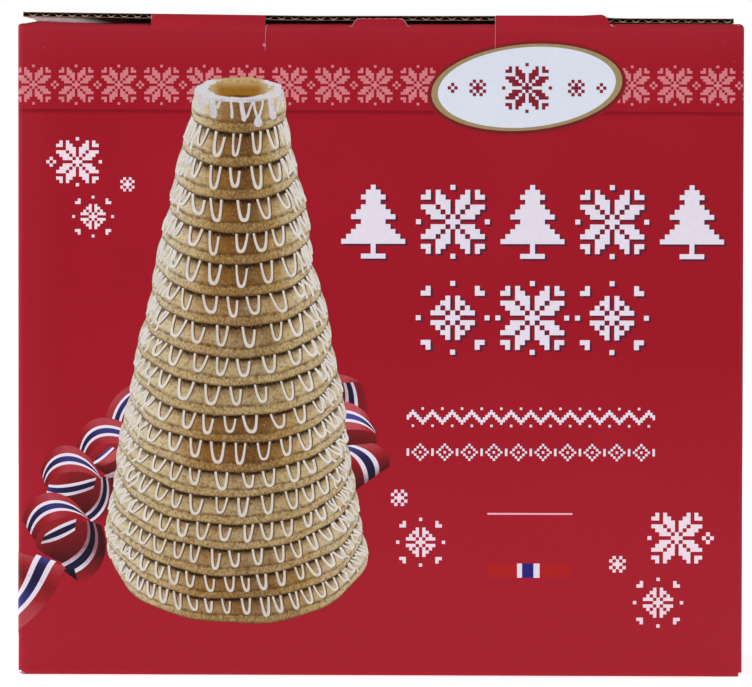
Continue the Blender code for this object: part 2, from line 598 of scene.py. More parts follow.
def on_wall(u, height, out):
    """The point at distance u round the carton, at a height and a distance out from the board."""
    side = 1 if u >= 0 else -1
    run = abs(u)
    if run <= CORNER_ONE:
        out += bow_at(run / FLAT_X, height)
        return Vector((side * run, FRONT - out, height))
    reach = CREASE + out
    if run <= SIDE:
        angle = (run - CORNER_ONE) / CREASE
        across = FLAT_X + reach * math.sin(angle)
        return Vector((side * across, FRONT + CREASE - reach * math.cos(angle), height))
    if run <= CORNER_TWO:
        out += bow_at((run - SIDE) / FLAT_Y - 1, height)
        return Vector((side * (HALF_WIDTH + out), FRONT + CREASE + run - SIDE, height))
    if run <= REAR:
        angle = (run - CORNER_TWO) / CREASE
        across = FLAT_X + reach * math.cos(angle)
        return Vector((side * across, BACK - CREASE + reach * math.sin(angle), height))
    out += bow_at((ROUND - run) / FLAT_X, height)
    return Vector((side * (ROUND - run), BACK + out, height))


def fold_lines():
    """Where a flat shape is cut so that it can turn the corners: the ends and steps of each crease."""
    lines = []
    for start in (CORNER_ONE, CORNER_TWO):
        for place in steps(start, start + TURN, CREASE_STEPS):
            lines += [place, -place]
    return lines


def within(places, low, high):
    """The places that lie strictly between two limits."""
    return [place for place in sorted(places) if low + 1e-6 < place < high - 1e-6]


def lay(piece, layer):
    """Folds a flat printed shape round the walls, as the given layer of ink."""
    xs = [vertex.co.x for vertex in piece.data.vertices]
    zs = [vertex.co.z for vertex in piece.data.vertices]
    cut_across(piece, 0, within(fold_lines() + RULINGS, min(xs), max(xs)))
    cut_across(piece, 2, within(RULINGS, min(zs), max(zs)))
    for vertex in piece.data.vertices:
        vertex.co = on_wall(vertex.co.x, vertex.co.z, layer * INK)
    return piece


def dress(piece, slot, *materials, smooth=True):
    """Gives a piece its materials and its body, and hides the carton part that it stands in for."""
    piece.data.materials.clear()
    for material in materials:
        piece.data.materials.append(material)
    select_only(piece)
    if smooth:
        bpy.ops.object.shade_smooth_by_angle(angle=math.radians(35))
    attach(piece, "root")
    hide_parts("carton")


def ink_on(piece, layer, slot, ink):
    """Lays a flat printed shape on the walls and dresses it in one ink."""
    dress(lay(piece, layer), slot, ink, smooth=False)


def assign(piece, number, test):
    """Gives a material slot to the faces that pass a test."""
    for face in piece.data.polygons:
        if test(face):
            face.material_index = number


# ------------------------ board


def walls(red, raw):
    """Four walls with their folded flaps: creased edges, slightly bowed, flaps that meet under the base."""
    case = cuboid("walls", (-HALF_WIDTH, FRONT, 0), (HALF_WIDTH, BACK, WALL_TOP))
    modify(case, "BEVEL", width=CREASE, segments=CREASE_STEPS, limit_method="ANGLE")
    corner = [knot[0] + beside * MM for knot in CREASE_RISE for beside in (0, 2, 4)]
    cut_across(case, 0, within(RULINGS + corner, -FLAT_X, FLAT_X))
    cut_across(case, 1, within(RULINGS, -FLAT_Y, FLAT_Y))
    cut_across(case, 2, within(RULINGS, CREASE, BEND_START))
    touch = 1e-5
    sharper = 0.6                # how much squarer the top left corner of the front is
    for vertex in case.data.vertices:
        x, y, z = vertex.co
        if abs(y - FRONT) < touch:
            vertex.co.y -= bow_at(x / FLAT_X, z)
        elif abs(y - BACK) < touch:
            vertex.co.y += bow_at(x / FLAT_X, z)
        elif abs(abs(x) - HALF_WIDTH) < touch:
            vertex.co.x += math.copysign(bow_at(y / FLAT_Y, z), x)
        if z > BEND_START - touch and y < FRONT + 2 * CREASE:
            if x < -FLAT_X:
                vertex.co.x = blend(x, -HALF_WIDTH, sharper * (z - BEND_START) / CREASE)
                vertex.co.z = blend(z, WALL_TOP, sharper * (-FLAT_X - x) / CREASE)
            vertex.co.z += level_at(CREASE_RISE, x) * (z - BEND_START) / CREASE
    seam_half = 0.5 * MM
    depth = 1.8 * MM
    inset = 1.5 * MM
    cutters = [cuboid("seam", (-1, -seam_half, -1), (1, seam_half, depth))]
    for side in (-1, 1):
        near = side * (HALF_WIDTH - inset)
        cutters.append(cuboid("step", (min(near, side), -1, -1), (max(near, side), 1, depth)))
    for cutter in cutters:
        modify(case, "BOOLEAN", operation="DIFFERENCE", solver="EXACT", object=cutter)
        bpy.data.objects.remove(cutter, do_unlink=True)
    dress(case, "printed_board", red, raw)
    limit = HALF_WIDTH - inset + touch
    assign(case, 1, lambda face: face.center.z < depth + touch and abs(face.normal.z) < 0.5 and (
        abs(abs(face.center.x) - limit) < 2 * touch or abs(face.center.y) < 2 * seam_half))


def upright(name, points, red, raw):
    """A part of the front wall that isn't folded and stands past the crease."""
    piece = outline(name, points, BOARD)
    for vertex in piece.data.vertices:
        vertex.co.y += FRONT
    sharp = math.radians(60)
    modify(piece, "BEVEL", width=0.12 * MM, segments=2, limit_method="ANGLE", angle_limit=sharp)
    dress(piece, "printed_board", red, raw)
    assign(piece, 1, lambda face: abs(face.normal.y) < 0.5)


def tongue_outline(side):
    """Left tongue: square shoulders. Right tongue: its outer shoulder is round and stands a little proud."""
    inner = TONGUE_IN + 0.0003
    if side < 0:
        return [
            (-TONGUE_OUT, BEND_START),
            (-inner, BEND_START),
            (-inner, TONGUE_TOP - 0.0002),
            (-TONGUE_OUT + 0.0004, TONGUE_TOP + 0.0002),
            (-TONGUE_OUT, TONGUE_TOP - 0.0012),
        ]
    centre = (TONGUE_OUT - SHOULDER - 0.001, TONGUE_TOP - SHOULDER)
    round_off = arc(centre, SHOULDER + 0.0003, 90, 22)
    low = TONGUE_TOP - 0.0001
    return [
        (TONGUE_OUT + 0.0004, BEND_START),
        (TONGUE_OUT + 0.0002, TONGUE_TOP - 0.0040),
        *round_off[::-1],
        (TONGUE_OUT - 0.012, low),
        (inner, low),
        (inner, BEND_START),
    ]


def tab_outline():
    """Short tab with round shoulders and a flare at its root."""
    radius = SHOULDER
    return (
        [(TAB_HALF, BEND_START)]
        + arc((TAB_HALF - radius, TAB_TOP - radius), radius, 0, 90)
        + arc((radius - TAB_HALF, TAB_TOP - radius), radius, 90, 180)
        + [(-TAB_HALF, BEND_START)]
    )


def lid_profile(depth):
    """Path of a layer of the lid, at a depth under its outer face: up the back and forward to the edge."""
    back = BACK + 0.05 * MM
    bend = (back - CREASE, LID_TOP - CREASE)
    corner = arc(bend, CREASE - depth, 0, 90, CREASE_STEPS)
    forward = steps(bend[0], FRONT + LID_INSET, 6)[1:]
    return [(back - depth, LID_FOOT)] + corner + [(y, LID_TOP - depth) for y in forward]


def lid_sheet(name, depth, thickness):
    """One liner of the lid, outer face at a depth, as a thin board that slants with the lid."""
    path = lid_profile(depth)
    columns = steps(LID_LEFT, LID_RIGHT, 60)

    def place(x, along):
        y, z = path[round(along)]
        if along == 0:
            y += bow_at(x / FLAT_X, z)
        return (x, y, z + lid_lift(x, z))

    piece = sheet(name, columns[::-1], [float(step) for step in range(len(path))], place)
    modify(piece, "SOLIDIFY", thickness=thickness, offset=-1)
    return piece


def lid_lift(x, z):
    """How far the lid's slant moves a point."""
    share = min(1.0, max(0.0, (z - LID_FOOT) / (LID_TOP - CREASE - LID_FOOT)))
    return level_at(LID_LIFT, x) * share


def flute_angle(x):
    """How far round its wave the lid's medium is at a place across the carton; 0 is a trough."""
    return 2 * math.pi * (x - FLUTE_PHASE) / FLUTE_PITCH


def lid(red, pale, raw):
    """The back wall's top flap: printed liner, inner liner and the fluted medium between them."""
    outer = lid_sheet("lid_outer_liner", 0.0, LINER)
    dress(outer, "printed_board", red, raw)
    inner = lid_sheet("lid_inner_liner", BOARD - LINER, LINER)
    dress(inner, "board_liner", pale, raw)
    for liner in (outer, inner):
        assign(liner, 1, lambda face: face.normal.y < -0.7 or abs(face.normal.x) > 0.7)
    edge = FRONT + LID_INSET
    rear = BACK - 4 * MM
    swing = (BOARD - 3 * LINER) / 2
    middle = LID_TOP - BOARD / 2
    start, end = LID_LEFT + 0.1 * MM, LID_RIGHT - 0.1 * MM
    count = round((end - start) / FLUTE_PITCH * 16)

    def wave(x, y):
        return (x, y, middle - swing * math.cos(flute_angle(x)) + lid_lift(x, middle))

    medium = sheet("lid_fluting", steps(start, end, count), steps(edge + 0.1 * MM, rear, 4), wave)
    # how near a trough each point is, for the medium's painted light and shade
    mark(medium, "trough", lambda spot: 0.5 + 0.5 * math.cos(flute_angle(spot.x)))
    modify(medium, "SOLIDIFY", thickness=LINER, offset=0)
    dress(medium, "kraft_board", fluting_finish())
    ends = []
    low, high = LID_TOP - BOARD + LINER / 2, LID_TOP - LINER / 2
    for x in (LID_LEFT + LINER / 2, LID_RIGHT - LINER / 2):
        cap = cuboid("cap", (x - LINER / 2, edge, low), (x + LINER / 2, rear, high))
        for vertex in cap.data.vertices:
            vertex.co.z += lid_lift(vertex.co.x, vertex.co.z)
        ends.append(cap)
    dress(join("lid_ends", ends), "kraft_board", raw)


def flap_finish():
    """Pale inside of the side flap's edge, with painted shade darkening it further in under the lid."""
    finish = Finish("flap_edge", roughness=0.8)
    x, _, z = finish.axes()
    fibre = finish.noise(900.0, stretch=(0.3, 1, 2))
    level = x + (z - WALL_TOP) * 4.0
    return finish.paint(
        "#e0cdd1",
        (fibre.rise(0.35, 0.7) * 0.5, "#b89da3"),
        # painted shade: dark further in under the lid
        (level.rise(-0.130, -0.112), "#24100f"),
    )


def flap_edge():
    """Edge of the left side flap, bent up a little under the lid."""
    hidden_end = -0.110          # far enough under the lid to be out of sight
    behind = 4 * MM              # how far it stands behind the front wall's face
    corners = [
        (-0.1462, WALL_TOP + 0.0004), (hidden_end, WALL_TOP), (hidden_end, 0.2808), (-0.1500, 0.28165),
    ]
    piece = face_outward(outline("flap_edge", corners))
    for vertex in piece.data.vertices:
        vertex.co.y = FRONT + behind
    dress(piece, "board_liner", flap_finish(), smooth=False)


def fluting_finish():
    """Brown medium with painted light: pale at its troughs and painted shade towards its crests."""
    finish = Finish("fluting", roughness=0.9, gloss=0.1)
    fibre = finish.noise(1500.0)
    trough = finish.value_of("trough")
    finish.bump(fibre, 0.00005)
    return finish.paint(
        # the dark base is painted shade, the troughs get painted light
        "#3d261b",
        (trough.rise(0.25, 0.85), "#c4a892"),
        (fibre.rise(0.4, 0.7) * 0.35, "#7a5a46"),
    )


def board():
    """Everything made of board."""
    red = red_print("red_print")
    # The tongues and the tab get no painted crease highlight.
    upright_red = red_print("red_print_upright", crease_highlight=0.0)
    raw = kraft("raw_edge", "#9c7c62", "#5f4232")
    pale = kraft("inner_liner", "#e9e2e4", "#c2b6ba")
    walls(red, raw)
    upright("left_tongue", tongue_outline(-1), upright_red, raw)
    upright("right_tongue", tongue_outline(1), upright_red, raw)
    upright("middle_tab", [(x + TAB_MIDDLE, z) for x, z in tab_outline()], upright_red, raw)
    lid(red, pale, raw)
    flap_edge()
    joint = -CORNER_TWO - 0.5 * MM
    inset = 3 * MM
    edge = stroke("joint_edge", [(joint, inset), (joint, WALL_TOP - inset)], 1.3 * MM)
    ink_on(face_outward(edge), LAYER["joint"], "kraft_board", raw)


# ------------------------ knitted motifs


def in_star(a, b):
    """Eight-pointed star: a is the larger and b the smaller distance from the middle, in stitches."""
    return a + b <= 1 or (1 <= b <= 3 and 1 <= a - b <= 3) or (b >= 5 and a + b <= 11)


def in_rosette(a, b):
    """Four leaves round a middle, with corners."""
    return a + b <= 1 or (b >= 1 and a - b >= 1 and a + b <= 5) or (b >= 5 and a + b <= 11 and a <= 6)


def in_crystal(a, b):
    """Small snow crystal."""
    return a + b <= 1 or (a == 2 and b == 1)


def in_diamond(a, b):
    """Four stitches round an empty one."""
    return a == 1 and b == 0


def stitches(name, half, test, cell, tall=None):
    """A grid of stitches, half to each side of the middle one, less those that fail a test.

    tall is the half above and below the middle stitch, where it differs.
    """
    columns, rows = (
        [cell * (step - reach - 0.5) for step in range(2 * reach + 2)]
        for reach in (half, tall or half)
    )
    piece = sheet(name, columns, rows, lambda x, z: (x, 0, z))
    select_only(piece)
    bpy.ops.object.mode_set(mode="EDIT")
    bpy.ops.mesh.select_mode(type="FACE")
    bpy.ops.mesh.select_all(action="DESELECT")
    bpy.ops.object.mode_set(mode="OBJECT")
    for face in piece.data.polygons:
        face.select = not test(round(face.center.x / cell), round(face.center.z / cell))
    bpy.ops.object.mode_set(mode="EDIT")
    bpy.ops.mesh.delete(type="FACE")
    bpy.ops.object.mode_set(mode="OBJECT")
    return piece


def symmetric(test):
    """Turns a test of the larger and smaller distance into one of column and row."""
    return lambda column, row: test(max(abs(column), abs(row)), min(abs(column), abs(row)))


def with_dots(test, sides=("up", "down", "left", "right")):
    """Adds a single stitch at each of some sides to a test."""
    dots = {DOTS[side] for side in sides}
    return lambda column, row: (column, row) in dots or test(column, row)


# Stitches from the middle one to the edge of each kind of motif.
STAR_HALF = 7
CRYSTAL_HALF = 2
DIAMOND_HALF = 1
DOTS = {"up": (0, STAR_HALF), "down": (0, -STAR_HALF), "left": (-STAR_HALF, 0), "right": (STAR_HALF, 0)}

# Stitches in each row of a fir, from its tip.
FIR = (1, 3, 5, 3, 5, 7, 9, 5, 7, 9, 11, 13, 1, 1, 5)


def in_fir(column, row):
    """Fir tree on its foot."""
    return abs(column) <= FIR[STAR_HALF - row] // 2


def star_band():
    """Row of stars right round the carton, cut off at the glued corner at the back."""
    star = stitches("star", STAR_HALF, with_dots(symmetric(in_star), ("up", "down")), CELL)
    between = stitches("between", DIAMOND_HALF, DIAMOND, CELL)
    start, end = -CORNER_TWO + 0.2 * MM, 2 * ROUND - CORNER_TWO - TURN
    reach = STAR_PITCH / 2
    pieces = []
    # More stars than fit on either side of the first: those past the ends are left out.
    for step in range(-30, 50):
        for pattern, along in ((star, 0), (between, reach)):
            centre = FIRST_STAR + step * STAR_PITCH + along
            if start - reach < centre < end + reach:
                pieces.append(copy_of(pattern, centre, BAND_CENTRE))
    whole = join("band_stars", pieces)
    for pattern in (star, between):
        bpy.data.objects.remove(pattern, do_unlink=True)
    select_only(whole)
    bpy.ops.object.mode_set(mode="EDIT")
    for place, side in ((start, "clear_inner"), (end, "clear_outer")):
        bpy.ops.mesh.select_all(action="SELECT")
        bpy.ops.mesh.bisect(plane_co=(place, 0, 0), plane_no=(1, 0, 0), **{side: True})
    bpy.ops.object.mode_set(mode="OBJECT")
    return whole


def scattered(kinds):
    """Loose flakes: each kind is drawn once for each of its places, as (across, up, stitch size)."""
    pieces = []
    for test, half, places in kinds:
        for across, up, cell in places:
            flake = stitches("flake", half, test, cell * MM)
            pieces.append(shift(flake, across * MM, up * MM))
    return pieces


STAR = with_dots(symmetric(in_star))
ROSETTE = with_dots(symmetric(in_rosette))
CRYSTAL = symmetric(in_crystal)
DIAMOND = symmetric(in_diamond)


def front_flakes():
    """Flakes on the front: two groups of three beside the cake and two under the title's place."""
    upper = with_dots(symmetric(in_star), ("up", "down", "right"))
    lower = with_dots(symmetric(in_star), ("left",))
    kinds = (
        (upper, STAR_HALF, ((-129.5, 219.8, 1.40),)),
        (DIAMOND, DIAMOND_HALF, ((-140.7, 219.8, 1.40), (140.3, 59.5, 1.67))),
        (CRYSTAL, CRYSTAL_HALF, ((-108.1, 210.2, 1.20), (101.7, 48.2, 1.41), (8.3, 76.4, 1.40))),
        (ROSETTE, STAR_HALF, ((-122.8, 196.4, 1.19), (119.1, 31.8, 1.43), (17.5, 57.4, 1.40))),
        (lower, STAR_HALF, ((127.0, 59.5, 1.67),)),
    )
    return scattered(kinds)


def scatter(middle, half, foot, top, count, seed):
    """Flakes strewn over a hidden panel without touching; sizes in millimetres."""
    chance = random.Random(seed)
    # Motif, its half in stitches, and its smallest and largest stitch.
    kinds = (
        (STAR, STAR_HALF, 1.25, 1.65),
        (ROSETTE, STAR_HALF, 1.15, 1.4),
        (CRYSTAL, CRYSTAL_HALF, 1.2, 1.5),
    )
    tries = 600
    gap = 5
    placed = []
    for _ in range(tries):
        test, stitches_out, small, large = chance.choice(kinds)
        cell = chance.uniform(small, large)
        radius = (stitches_out + 1) * cell
        across = chance.uniform(radius - half, half - radius)
        up = chance.uniform(foot + radius, top - radius)
        clear = all(math.hypot(across - x, up - z) > radius + other + gap for x, z, other, _ in placed)
        if clear and len(placed) < count:
            placed.append((across, up, radius, (test, stitches_out, ((middle + across, up, cell),))))
    return scattered([flake for _, _, _, flake in placed])


def knitted(snow, pink):
    """The knitted band and all loose flakes."""
    ink_on(star_band(), LAYER["knit"], "pink_ink", pink)
    side = (SIDE + FLAT_Y) / MM
    side_half = FLAT_Y / MM - 4
    rear = ROUND / MM - 76
    rear_half = 74
    top = 232
    # Middle, half width, foot, number and seed of the flakes on each hidden panel.
    panels = (
        (side, side_half, 12, 11, 7),
        (-side, side_half, 36, 10, 12),
        (rear, rear_half, 12, 13, 4),
        (-rear, rear_half, 12, 13, 9),
    )
    flakes = front_flakes()
    for middle, half, foot, count, seed in panels:
        flakes += scatter(middle, half, foot, top, count, seed)
    ink_on(join("loose_flakes", flakes), LAYER["knit"], "white_ink", snow)
    cover = join("lid_flakes", scatter(0, 146, -46, 52, 9, 21))
    for vertex in cover.data.vertices:
        x, _, z = vertex.co
        vertex.co = (x, z, LID_TOP + lid_lift(x, LID_TOP) + 2 * INK)
    dress(cover, "white_ink", snow, smooth=False)


# ------------------------ panels of ornament


def ornament_rows(white, plum):
    """Two rows of large knitted motifs, with a plum shadow, in the place of a title."""
    cell = 2.1 * MM
    pitch = 34.0
    middle = 65.0
    pieces = []
    for height, tests in ((194.5, (in_fir, STAR, in_fir, STAR, in_fir)), (153.5, (ROSETTE, STAR, ROSETTE))):
        for place, test in enumerate(tests):
            across = (middle + (place - (len(tests) - 1) / 2) * pitch) * MM
            pieces.append(shift(stitches("motif", STAR_HALF, test, cell), across, height * MM))
    face = join("ornament_rows", pieces)
    shade = copy_of(face, 1.0 * MM, -0.9 * MM)
    shade.name = shade.data.name = "ornament_shadow"
    ink_on(shade, LAYER["ornament_shadow"], "dark_ink", plum)
    ink_on(face, LAYER["ornament"], "white_ink", white)


def small_rows(white):
    """Two narrow borders of zigzag and diamonds, in the place of smaller words."""
    wide = 50
    middle = 64.5 * MM

    def zigzag(column, row):
        wave = abs((column % 8) - 4) - 2
        return row in (wave, wave - 1) or (column % 8 == 4 and row == 3) or (column % 8 == 0 and row == -4)

    def diamonds(column, row):
        across = abs((column % 10) - 5)
        return across + abs(row) in (0, 3) or (column % 10 == 0 and abs(row) <= 1)

    pieces = []
    for test, height, tall in ((zigzag, 111.5, 5), (diamonds, 96.0, 4)):
        row = stitches("border", wide, test, 1.05 * MM, tall)
        pieces.append(shift(row, middle, height * MM))
    ink_on(join("small_borders", pieces), LAYER["border"], "white_ink", white)


def ellipse(centre, half, tilt, count=72):
    """Points round an ellipse; tilt raises the right end of its long axis."""
    points = []
    for step in range(count):
        angle = 2 * math.pi * step / count
        across = half[0] * math.cos(angle)
        up = half[1] * math.sin(angle)
        x = across * math.cos(tilt) - up * math.sin(tilt)
        z = across * math.sin(tilt) + up * math.cos(tilt)
        points.append((centre[0] + x, centre[1] + z))
    return points


def medallion(inks):
    """Plain white oval with a gold rim, a soft dark edge round it and three dark knitted motifs."""
    middle = (62.4, 251.9)
    tilt = math.radians(5.0)
    # Name, half width, half height, drop, slot and ink.
    ovals = (
        ("oval_glow", 42.6, 20.1, 0.45, "dark_ink", "glow_ink"),
        ("oval_shadow", 41.8, 19.25, 0.3, "dark_ink", "maroon_ink"),
        ("oval_rim", 40.85, 18.35, 0.0, "gold_ink", "gold_ink"),
        ("oval_field", 38.05, 17.05, 0.0, "white_ink", "oval_white"),
    )
    for name, wide, tall, drop, slot, ink in ovals:
        centre = (middle[0] * MM, (middle[1] - drop) * MM)
        oval = outline(name, ellipse(centre, (wide * MM, tall * MM), tilt))
        ink_on(face_outward(oval), LAYER[name], slot, inks[ink])
    kinds = (
        (STAR, STAR_HALF, ((62.5, 251.6, 1.42),)),
        (CRYSTAL, CRYSTAL_HALF, ((41.5, 251.6, 1.42), (83.5, 251.6, 1.42))),
        (DIAMOND, DIAMOND_HALF, ((49.0 - 18.2, 251.6, 1.42), (76.0 + 18.2, 251.6, 1.42))),
    )
    ink_on(join("oval_motifs", scattered(kinds)), LAYER["oval_motifs"], "dark_ink", inks["wine_ink"])


def rule_and_bar(inks):
    """Thin white rule and a bar striped red, white, blue, white, red."""
    shapes = [("thin_rule", (46.0, 69.3, 82.4, 69.3 + 0.75), "white_ink", "pale_pink_ink")]
    stops = (45.9, 58.8, 60.9, 65.8, 68.4, 82.0)
    colours = ("bright_red_ink", "white_ink", "blue_ink", "white_ink", "bright_red_ink")
    for number, (left, right, ink) in enumerate(zip(stops, stops[1:], colours)):
        slot = "printed_board" if ink == "bright_red_ink" else ink
        shapes.append((f"bar_stripe_{number + 1}", (left, 42.3, right, 48.4), slot, ink))
    for name, (left, low, right, high), slot, ink in shapes:
        corners = [(left, low), (right, low), (right, high), (left, high)]
        shape = outline(name, [(x * MM, z * MM) for x, z in corners])
        ink_on(face_outward(shape), LAYER["bar"], slot, inks[ink])


# ------------------------ ring cake


def ring_edge(number):
    """Lower front edge of a ring as (middle, lowest height, half width, rise to its sides).

    Number 0 is the front edge of the cake's top face and 1 the top ring, as seen from above and in front.
    """
    if number == 0:
        return (CAKE_MIDDLE, 245.2 * MM, 18.9 * MM, 5.0 * MM)
    k = number - 1
    sway = 0.45 * math.sin(2.1 * k + 0.6) + 0.3 * math.sin(4.7 * k)
    middle = CAKE_MIDDLE + (sway * 0.7 + level_at(LEAN, k)) * MM
    lowest = (232.2 - 14.47 * k + 0.1327 * k * (k - 1) + 0.35 * math.sin(3.3 * k)) * MM
    bulge = 0.9 * math.exp(-((k - 15.5) / 1.2) ** 2) - 1.1 * math.exp(-((k - 5.2) / 1.3) ** 2)
    half = (20.0 + 3.2 * k - 0.0675 * k * k + bulge) * MM
    rise = (8.3 + 1.305 * k) * MM
    return (middle, lowest, half, rise)


def edge_point(number, angle):
    """Point of a ring's lower edge; angle 0 is its front and a quarter turn its side."""
    middle, lowest, half, rise = ring_edge(number)
    wobble = 1 + 0.012 * math.sin(5 * angle + 1.7 * number) + 0.008 * math.sin(11 * angle + number)
    return Vector((middle + half * wobble * math.sin(angle), lowest + rise * (1 - math.cos(angle) * wobble)))


def ring_point(number, angle, up):
    """Point on the visible face of a ring, up is 0 at its foot and 1 under the ring above."""
    spot = blend(edge_point(number, angle), edge_point(number - 1, angle), up)
    swell = 0.6 * MM * math.sin(math.pi * min(1.0, up * 1.15)) * math.sin(angle) ** 2
    return spot + Vector((math.copysign(swell, angle), 0))


def cake_rings(material):
    """The rings' faces, one sheet each, ruled between the foot of a ring and the foot of the one above.

    The top ring runs on a little under the ragged edge of its frosting.
    """
    quarter = math.pi / 2
    pieces = []
    for number in range(1, RINGS + 1):
        def place(angle, up, number=number):
            tucked = 0.1 * math.sqrt(max(0.0, math.cos(angle))) if number == 1 else 0.0
            spot = ring_point(number, angle, up * (1 + tucked))
            return (spot.x, 0, spot.y)

        face = sheet("ring", steps(-quarter, quarter, 56), steps(0, 1, 8), place)
        mark(face, "tone", lambda spot: TONES[number - 1])
        mark(face, "covered", lambda spot: float(number > 1))
        pieces.append(face)
    ink_on(join("cake_rings", pieces), LAYER["rings"], "cake_print", material)


def loop_path(number, centre, spread, foot, skew, end):
    """A piped loop on a ring: down one leg, round, and up the other as far as end.

    Towards the ring's sides loops are drawn wider, higher and leaning outwards, since they are seen aslant.
    """
    top = 0.985
    spread /= max(0.82, math.cos(centre))
    foot += 0.2 * (1 - math.cos(centre))
    lean = centre ** 3 * 0.1
    points = []
    for share in steps(-1, end, 14):
        up = blend(foot, top, abs(share) ** 1.9)
        across = math.copysign(abs(share) ** 0.6, share) * spread * (1 + skew * share)
        angle = centre + across - lean * (up - foot)
        stand = 0.15 * MM * math.sin(angle) ** 2 * math.sin(math.pi * up)
        points.append(ring_point(number, angle, up) + Vector((math.copysign(stand, angle), 0)))
    return points


# Where lines of icing stand at both sides of a ring, counted round from its front.
SIDE_LINES = [math.radians(angle) for angle in (60, 67, 73, 79, 84)]


def cake_icing(material, shade_material):
    """Loops of icing on every ring under the top one, those nearer the front over a soft brown shadow, and
    lines of icing at the rings' sides.
    """
    chance = random.Random(11)
    lines = []
    sides = []
    shadows = []
    reach = math.radians(82)
    shaded_reach = math.radians(66)
    for number in range(2, RINGS + 1):
        spacing = 0.437 - 0.0168 * number
        centre = -reach + spacing * chance.uniform(0.1, 0.6)
        while centre < reach:
            spread = spacing * chance.uniform(0.19, 0.27)
            foot = chance.uniform(0.27, 0.42)
            end = chance.choice((1, 1, 1, 0.9))
            weight = chance.uniform(0.9, 1.2) * blend(1.22, 1.06, number / RINGS) * MM
            path = loop_path(number, centre, spread, foot, chance.uniform(-0.3, 0.3), end)
            drop = chance.uniform(1.1, 1.35)

            def width(share, weight=weight, drop=drop):
                return weight * blend(0.8, drop, math.sin(math.pi * share) ** 2)

            lines.append(stroke("loop", path, width))
            if abs(centre) < shaded_reach:
                moved = [point + Vector((0.5 * MM, -0.22 * MM)) for point in path]
                shadows.append(stroke("shadow", moved, weight * 0.9))
            centre += spacing * chance.uniform(0.84, 1.16)
        sides += side_lines(number, chance)
    shade = join("icing_shadow", shadows)
    ink_on(face_outward(shade), LAYER["icing_shadow"], "cake_print", shade_material)
    stagger("icing_loops", lines, LAYER["loops"], material)
    stagger("icing_sides", sides, LAYER["side_lines"], material)


def side_lines(number, chance):
    """Icing at a ring's two sides, where the loops are seen edge on: lines that lean a little."""
    pieces = []
    for side in (-1, 1):
        for angle in SIDE_LINES:
            phase = chance.uniform(0, 6)
            path = [
                ring_point(number, side * (angle + 0.08 - 0.16 * up + 0.02 * math.sin(8 * up + phase)), up)
                for up in steps(chance.uniform(0.12, 0.4), 0.98, 10)
            ]
            pieces.append(stroke("line", path, chance.uniform(0.75, 1.15) * MM))
    return pieces


def stagger(name, strokes, layer, material):
    """Lays strokes that touch each other on three layers in turn, then joins them."""
    laid = [lay(piece, layer + LAYER_STEP * (number % 3)) for number, piece in enumerate(strokes)]
    dress(join(name, laid), "cake_print", material, smooth=False)


# Ovals of the top ring as height, half width and half height: its iced face and the hollow in it.
CROWN = (250.6 * MM, 18.7 * MM, 5.4 * MM)
HOLLOW = (251.3 * MM, 12.9 * MM, 3.9 * MM)
# Drips down the top ring in millimetres: across at the top and the foot, height of the foot and width.
DRIPS = (
    (-78.9, -79.3, 243.0, 1.0), (-77.9, -77.3, 240.4, 1.4), (-75.7, -76.5, 240.6, 1.5),
    (-74.4, -74.6, 244.2, 3.2), (-71.6, -71.4, 238.5, 3.0), (-68.6, -69.6, 242.6, 1.6),
    (-63.9, -63.3, 238.3, 1.3), (-59.2, -58.3, 237.1, 2.3), (-54.5, -57.2, 238.6, 1.2),
    (-54.0, -52.5, 238.0, 1.2), (-50.3, -51.9, 238.0, 1.2), (-46.7, -45.9, 238.0, 2.9),
    (-43.1, -43.8, 241.5, 1.3), (-41.9, -41.7, 243.0, 1.0),
)


def oval_point(oval, angle, grow):
    """Point round one of the top ring's ovals; angle 0 is nearest the viewer."""
    height, across, up = oval
    return Vector((CAKE_MIDDLE + across * grow * math.sin(angle), height - up * grow * math.cos(angle)))


def cake_crown(frosting, hollow, icing):
    """Iced top face of the top ring, the hollow in its middle and drips down its side."""
    turn = steps(-math.pi, math.pi, 72)

    def place(angle, share):
        ragged = 1 + 0.025 * math.sin(7 * angle) + 0.02 * math.sin(13 * angle + 1)
        ragged += 0.015 * math.sin(29 * angle)
        spot = blend(oval_point(CROWN, angle, ragged), oval_point(HOLLOW, angle, ragged), share)
        return (spot.x, 0, spot.y)

    face = sheet("crown_icing", turn, steps(0, 1, 6), place)
    ink_on(face_outward(face), LAYER["crown_icing"], "cake_print", frosting)
    hole = outline("crown_hollow", [oval_point(HOLLOW, angle, 1.04) for angle in turn[:-1]])
    ink_on(face_outward(hole), LAYER["crown_hollow"], "cake_print", hollow)
    drips = [drip(*entry) for entry in DRIPS]
    blob = [((-52.2 - 0.1 * share) * MM, (238.9 - 4.1 * share) * MM) for share in steps(0, 1, 12)]

    def rounded(share):
        return 3.5 * MM * math.sin(math.pi * blend(0.06, 0.94, share)) ** 0.6

    drips.append(stroke("drip", blob, rounded))
    stagger("crown_drips", drips, LAYER["drips"], icing)


def drip(top, low, foot, width):
    """One drip from the edge of the top face down: narrower at its top and rounded at its foot."""
    across = (top * MM - CAKE_MIDDLE) / CROWN[1]
    start = CROWN[0] - CROWN[2] * math.sqrt(max(0.0, 1 - across ** 2)) + 1.2 * MM

    def place(share):
        wave = 0.2 * MM * math.sin(5 * share + top)
        return (blend(top, low, share ** 1.5) * MM + wave, blend(start, foot * MM, share))

    def narrowed(share):
        return width * MM * blend(0.72, 0.98, share) * (1 - max(0.0, share - 0.86) ** 2 * 30)

    return stroke("drip", [place(share) for share in steps(0, 1, 14)], narrowed)


